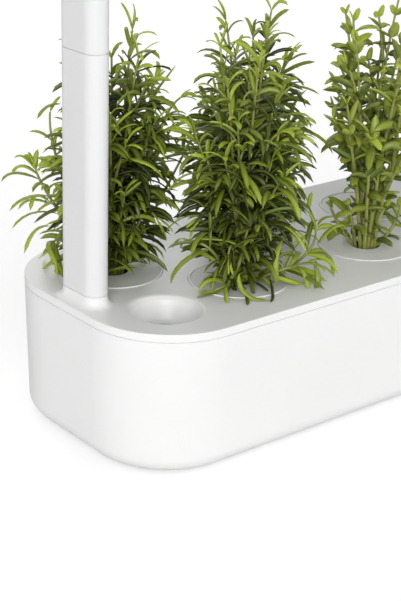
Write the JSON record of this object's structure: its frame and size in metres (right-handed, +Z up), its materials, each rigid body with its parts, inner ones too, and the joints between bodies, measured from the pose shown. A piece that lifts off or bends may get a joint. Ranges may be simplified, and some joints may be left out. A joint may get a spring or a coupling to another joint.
{
  "type": "countertop hydroponic garden",
  "caption": "Countertop hydroponic garden: a water tank under a lift-off lid with two staggered rows of hanging plant cups, a funnel with a float, and a grow lamp on end posts.",
  "frame": {"origin": "bottom centre of the garden, on the surface it stands on", "axes": "+X along the long side, -Y towards the fill port's side, +Z up"},
  "size_m": [0.61, 0.185, 0.3958],
  "materials": {
    "white_shell": "satin",
    "pod_grey": "matte",
    "clear_guide": "matte",
    "float_blue": "gloss",
    "rubber": "matte",
    "soil": "matte",
    "leaf": "matte",
    "black_plastic": "gloss",
    "copper_strip": "satin",
    "lens_frost": "frosted",
    "board_metal": "satin",
    "board_green": "satin",
    "led_yellow": "gloss",
    "steel": "brushed"
  },
  "bodies": {
    "tank": {"water_tank": "white_shell", "rubber_feet": "rubber"},
    "deck": {"lid": "white_shell", "float_cage": "clear_guide"},
    "float": {"float": "float_blue"},
    "cup_1_set": {"cup_1": "white_shell", "pod_1": "pod_grey", "soil_plug_1": "soil", "plant_1": "leaf"},
    "cup_2_set": {"cup_2": "white_shell", "pod_2": "pod_grey", "soil_plug_2": "soil", "plant_2": "leaf"},
    "cup_3_set": {"cup_3": "white_shell", "pod_3": "pod_grey", "soil_plug_3": "soil", "plant_3": "leaf"},
    "cup_4_set": {"cup_4": "white_shell", "pod_4": "pod_grey", "soil_plug_4": "soil", "plant_4": "leaf"},
    "cup_5_set": {"cup_5": "white_shell", "pod_5": "pod_grey", "soil_plug_5": "soil", "plant_5": "leaf"},
    "cup_6_set": {"cup_6": "white_shell", "pod_6": "pod_grey", "soil_plug_6": "soil", "plant_6": "leaf"},
    "cup_7_set": {"cup_7": "white_shell", "pod_7": "pod_grey", "soil_plug_7": "soil", "plant_7": "leaf"},
    "cup_8_set": {"cup_8": "white_shell", "pod_8": "pod_grey", "soil_plug_8": "soil", "plant_8": "leaf"},
    "cup_9_set": {"cup_9": "white_shell", "pod_9": "pod_grey", "soil_plug_9": "soil", "plant_9": "leaf"},
    "lower_left": {"post_left": "white_shell", "power_inlet": "black_plastic", "contact_strip_lower": "copper_strip"},
    "lower_right": {"post_right": "white_shell"},
    "upper_left": {"extension_left": "white_shell", "contact_strip_upper": "copper_strip"},
    "upper_right": {"extension_right": "white_shell"},
    "lamp": {"lamp_housing": "white_shell", "lamp_frame": "white_shell", "lamp_lens": "lens_frost", "led_board": "board_metal", "lamp_driver": "board_green", "leds": "led_yellow", "lamp_screws": "steel"}
  },
  "joints": [
    {"name": "lid_lift", "type": "slide", "parent": "tank", "child": "deck", "axis": [0, 0, 1], "range_m": [0, 0.12]},
    {"name": "float_rise", "type": "slide", "parent": "deck", "child": "float", "axis": [0, 0, 1], "range_m": [0, 0.05]},
    {"name": "cup_1_lift", "type": "slide", "parent": "deck", "child": "cup_1_set", "axis": [0, 0, 1], "range_m": [0, 0.075]},
    {"name": "cup_2_lift", "type": "slide", "parent": "deck", "child": "cup_2_set", "axis": [0, 0, 1], "range_m": [0, 0.075]},
    {"name": "cup_3_lift", "type": "slide", "parent": "deck", "child": "cup_3_set", "axis": [0, 0, 1], "range_m": [0, 0.075]},
    {"name": "cup_4_lift", "type": "slide", "parent": "deck", "child": "cup_4_set", "axis": [0, 0, 1], "range_m": [0, 0.075]},
    {"name": "cup_5_lift", "type": "slide", "parent": "deck", "child": "cup_5_set", "axis": [0, 0, 1], "range_m": [0, 0.075]},
    {"name": "cup_6_lift", "type": "slide", "parent": "deck", "child": "cup_6_set", "axis": [0, 0, 1], "range_m": [0, 0.075]},
    {"name": "cup_7_lift", "type": "slide", "parent": "deck", "child": "cup_7_set", "axis": [0, 0, 1], "range_m": [0, 0.075]},
    {"name": "cup_8_lift", "type": "slide", "parent": "deck", "child": "cup_8_set", "axis": [0, 0, 1], "range_m": [0, 0.075]},
    {"name": "cup_9_lift", "type": "slide", "parent": "deck", "child": "cup_9_set", "axis": [0, 0, 1], "range_m": [0, 0.075]},
    {"name": "post_left_pull", "type": "slide", "parent": "deck", "child": "lower_left", "axis": [0, 0, 1], "range_m": [0, 0.06]},
    {"name": "post_right_pull", "type": "slide", "parent": "deck", "child": "lower_right", "axis": [0, 0, 1], "range_m": [0, 0.06]},
    {"name": "extension_left_pull", "type": "slide", "parent": "lower_left", "child": "upper_left", "axis": [0, 0, 1], "range_m": [0, 0.06]},
    {"name": "extension_right_pull", "type": "slide", "parent": "lower_right", "child": "upper_right", "axis": [0, 0, 1], "range_m": [0, 0.06]},
    {"name": "lamp_pull", "type": "slide", "parent": "upper_left", "child": "lamp", "axis": [0, 0, 1], "range_m": [0, 0.06]}
  ],
  "couplings": [
    {"joint": "post_right_pull", "follows": "post_left_pull", "ratio": 1},
    {"joint": "extension_right_pull", "follows": "extension_left_pull", "ratio": 1}
  ]
}
